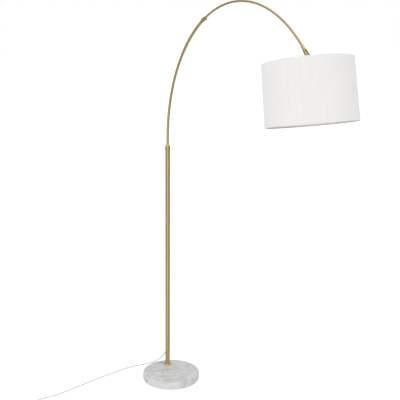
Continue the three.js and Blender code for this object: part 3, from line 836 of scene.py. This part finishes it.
def make_spider(radius, height, wire):
    """The shade's top ring, with three arms down to the hub that the ring nut holds."""
    hub = spun([
        (20.4, -52.2, 0.2), (27, -52.2, 0.4), (27, -50.3, 0.4), (20.4, -50.3, 0.2),
    ], 72, frame_at=HEAD)
    arms = []
    for degrees in (90, 210, 330):
        way = HEAD @ Matrix.Rotation(math.radians(degrees), 4, "Z")
        arms.append(bar((25.5, 0, -50.7), (radius, 0, height), 1.8, way))
    fine("shade_spider", joined(hoop(radius, height, wire), hub, *arms))


def coil_path(steps_a_turn=24):
    """Three turns on the floor, working in, and then back out over them, in the grooves between them."""
    outer, pitch = 38.5, 2 * CORD_RADIUS
    inner = outer - 2 * pitch
    groove = FLOOR + pitch * math.sqrt(3) / 2
    crest = FLOOR + pitch
    step_from = 0.78  # of each turn, where it starts to step to the next one's radius
    climb_from = 0.6  # of the third turn
    tuck = 2.2
    turns = 5.25
    count = round(turns * steps_a_turn)
    path = []
    for i in range(count + 1):
        turn = turns * i / count
        whole, part = int(turn), turn % 1
        stepping = ease((part - step_from) / (1 - step_from))
        if turn < 2:
            r, z = outer - pitch * (whole + stepping), FLOOR
        elif turn < 3:
            climb = (part - climb_from) / (1 - climb_from)
            z = FLOOR + (groove - FLOOR) * ease(climb * 1.25)
            inward = tuck * math.sin(math.pi * min(1, max(0, climb)))
            r = inner - inward + pitch / 2 * ease((climb - 0.4) / 0.6)
        else:
            r = inner + pitch / 2 + (pitch * stepping if turn < 4 else pitch)
            over = math.sin(math.pi * stepping) if turn < 4 else ease((turn - 5) / 0.2)
            z = groove + (crest - groove) * over
        angle = TURN * (turn - 0.25)
        path.append(COIL_CENTRE + Vector((r * math.cos(angle), r * math.sin(angle), z)))
    return path


def make_cord():
    """The mains lead, from inside its strain relief to inside the plug, with its path and its length."""
    inside_relief = POST_AXIS + EXIT_WAY * 24 + Vector((0, 0, EXIT_HEIGHT))
    inside_plug = (126, -731, PLUG_HEIGHT)
    path = smooth([inside_relief, *CORD_ROUTE, *CORD_LINK, *coil_path(), *CORD_TAIL, inside_plug], 3)
    length = sum((b - a).length for a, b in zip(path, path[1:])) * MM
    cord = piece("mains_lead", tube(path, CORD_RADIUS), "stand", "lead",
                 "cord_run", "cord_link", "cord_coil", "cord_tail")
    return cord, path, length


def make_tie():
    """A flat white tie round the coil's turns, on the side away from the plug."""
    near, far, slack, thick, half_wide = 25, 42.2, 0.5, 0.7, 2.4
    middle, half = (near + far) / 2, (far - near) / 2 + slack + thick
    half_tall = 12.0 / 2
    place = Matrix.Translation(COIL_CENTRE) @ Matrix.Rotation(math.radians(150), 4, "Z")
    rings = []
    for k in range(40):
        a = TURN * k / 40
        c, s = math.cos(a), math.sin(a)
        ring = []
        for inset, side in ((0, -half_wide), (0, half_wide), (thick, half_wide), (thick, -half_wide)):
            x = middle + math.copysign(abs(c) ** 0.5, c) * (half - inset)
            z = half_tall + math.copysign(abs(s) ** 0.5, s) * (half_tall - inset)
            ring.append(place @ Vector((x, side, max(0.05, z))))
        rings.append(ring)
    return piece("cord_tie", skinned(rings, closed=True), "stand", "lead", crease=60)


def switch_body(length):
    """The foot switch's whole outside: widest and highest in the middle, with rounded ends."""
    width, end_width = 34, 13
    top, end_top = 20, 13.4
    round_end = 2.5
    stations = []
    for k in range(41):
        x = length * (0.5 - 0.5 * math.cos(math.pi * k / 40))
        near = min(x, length - x)
        half = end_width / 2 + (width - end_width) / 2 * ease((near + 2) / 24)
        height = end_top + (top - end_top) * ease(near / 22)
        end = math.sqrt(max(0.0, 1 - (1 - min(1, near / round_end)) ** 2)) if near < round_end else 1
        shrink = 0.72 + 0.28 * end
        stations.append((x, half * shrink, height / 2 * shrink, 3.4, height / 2))
    return lofted(stations, lying(SWITCH), 72)


def make_switch():
    """Two halves with a channel for the lead, and a button in the cover's round opening."""
    length, split, half_gap = 78, 9, 0.15
    lead_at = SWITCH @ Matrix.Translation((-5, 0, split)) @ Matrix.Rotation(math.pi / 2, 4, "Y")
    button_at = SWITCH @ Matrix.Translation((length / 2, 0, 0))

    def half(low, high, *holes):
        """The switch's body without what is between two heights, the lead's channel and the holes."""
        other_half = block((-10, -40, low), (length + 10, 40, high), SWITCH)
        channel = cylinder(CORD_RADIUS + 0.1, 0, length + 10, lead_at, 24)
        return cut(switch_body(length), other_half, channel, *holes)

    button = fine("foot_switch_button", spun([
        (0, 15.2), (8.5, 15.2, 0.3), (8.5, 22.2, 1), (7.4, 23.8, 0.8), (5.4, 24, 0.6), (4.2, 23.3, 0.8),
        (0, 23.1),
    ], 64, False, button_at))
    opening = cylinder(9, 5, 40, button_at, 64)
    base = fine("foot_switch_base", half(split - half_gap, 40))
    cover = fine("foot_switch_cover", half(-10, split + half_gap, opening))
    return [base, cover, button]


def make_plug():
    """A flat two-pin plug with a ribbed neck. The pins have plastic sleeves for half their length."""
    length, width, thick = 38, 35.3, 13.4
    start_half, neck_half = 4.2, 6
    start_tall, neck_tall = 4.1, 5.3
    neck, rib_depth, chamfer, chamfer_length = 12, 0.35, 0.9, 1.5
    stations = []
    for k in range(61):
        x = length * k / 60
        rib = rib_depth * math.cos(math.pi * x) if 1 < x < neck - 1 else 0
        in_neck = ease(x / neck)
        edge = chamfer * ease((x - length + chamfer_length) / chamfer_length)
        half = start_half + (neck_half - start_half) * in_neck + (width / 2 - neck_half) * ease((x - 11) / 13)
        tall = start_tall + (neck_tall - start_tall) * in_neck + (thick / 2 - neck_tall) * ease((x - 10) / 12)
        squareness = 2.2 + 2.2 * ease((x - 8) / 14)
        stations.append((x, half + rib - edge, tall + rib - edge, squareness, PLUG_HEIGHT))
    pieces = [fine("plug_body", lofted(stations, lying(PLUG), 72))]
    sleeve_end = 10.1
    for node, side in (("plug_pin_left", 9.5), ("plug_pin_right", -9.5)):
        at = PLUG @ Matrix.Translation((length, side, PLUG_HEIGHT)) @ Matrix.Rotation(math.pi / 2, 4, "Y")
        start = sleeve_end + 0.1
        pin = spun([(0, start), (2, start, 0.2), (2, 18, 0.6), (1.1, 19.2, 0.5), (0, 19.3)], 32, False, at)
        sleeve = spun([(0, -1), (1.9, -1), (1.9, sleeve_end, 0.2), (0, sleeve_end)], 32, False, at)
        pieces += [fine(node, pin), piece(node + "_sleeve", sleeve, "stand", "phenolic")]
    return pieces


def finish_hidden():
    """CAD nodes that keep their own shape get their finish."""
    for node, thing in frame["nodes"].items():
        for slot in thing.material_slots:
            slot.material = FINISHES[SLOT_OF[node]]


# Studio

def make_floor():
    """A wide pale floor, just under the felt, which the brass doesn't mirror."""
    r, level = FLOOR_REACH, -0.0006
    mesh = bpy.data.meshes.new("studio_floor")
    mesh.from_pydata([(-r, -r, level), (r, -r, level), (r, r, level), (-r, r, level)], [], [(0, 1, 2, 3)])
    floor = bpy.data.objects.new("studio_floor", mesh)
    bpy.context.scene.collection.objects.link(floor)
    floor.visible_glossy = False
    finish = Finish("studio_floor", Roughness=0.9, Specular_IOR_Level=0.0, Base_Color=(0.5, 0.5, 0.5, 1),
                    Emission_Color=(1, 1, 1, 1), Emission_Strength=0.7)
    mesh.materials.append(finish.material)


def make_world():
    """White all round for the camera. For the lamp it's a dimmer room with soft light on four sides."""
    world = bpy.data.worlds.new("studio")
    bpy.context.scene.world = world
    world.use_nodes = True
    world.node_tree.nodes.clear()
    room = Nodes(world.node_tree)
    way = room.node("TexCoord").outputs["Generated"]
    white = (1, 1, 1, 1)
    light = ROOM_LIGHT
    for towards, start, full, strength in ROOM_LOBES:
        inputs = {0: way, 1: Vector(towards).normalized()}
        facing = room.node("VectorMath", inputs, operation="DOT_PRODUCT").outputs["Value"]
        share = room.ranged(facing, start, full, 0, strength, interpolation_type="SMOOTHSTEP")
        light = room.maths("ADD", share, light)
    lit = room.node("Background", {"Color": white, "Strength": light}).outputs[0]
    seen = room.node("Background", {"Color": white, "Strength": 1.0}).outputs[0]
    camera_ray = room.node("LightPath").outputs["Is Camera Ray"]
    both = room.node("MixShader", {0: camera_ray, 1: lit, 2: seen}).outputs[0]
    room.node("OutputWorld", {"Surface": both})


def add_light(name, at, towards, size, power):
    light = bpy.data.lights.new(name, "AREA")
    light.shape, light.size, light.size_y = "RECTANGLE", *size
    light.energy = power
    thing = bpy.data.objects.new(name, light)
    thing.location = at
    thing.rotation_euler = (Vector(towards) - Vector(at)).to_track_quat("-Z", "Y").to_euler()
    bpy.context.scene.collection.objects.link(thing)


def make_camera():
    data = bpy.data.cameras.new("camera")
    data.sensor_width, data.lens = 36, CAMERA_LENS
    camera = bpy.data.objects.new("camera", data)
    ahead, right = Vector(CAMERA_AHEAD).normalized(), Vector(CAMERA_RIGHT).normalized()
    turn = Matrix((right, right.cross(ahead), -ahead)).transposed()
    camera.matrix_world = Matrix.Translation(CAMERA_AT) @ turn.to_4x4()
    bpy.context.scene.collection.objects.link(camera)
    bpy.context.scene.camera = camera


make_camera()
make_world()
make_floor()
add_light("key", at=(3.6, -2.4, 2.9), towards=(0.4, 0, 1.1), size=(1.4, 2.2), power=10)
bpy.context.scene.view_settings.view_transform = "Standard"

finish_hidden()
make_base()
make_post()
relief = make_strain_relief()
make_arm()
make_rod()
make_knuckle_and_cup()
make_lampholder()
make_bulb()
make_shade()
cord, cord_path, cord_length = make_cord()
on_cord = [make_tie(), *make_switch(), *make_plug()]
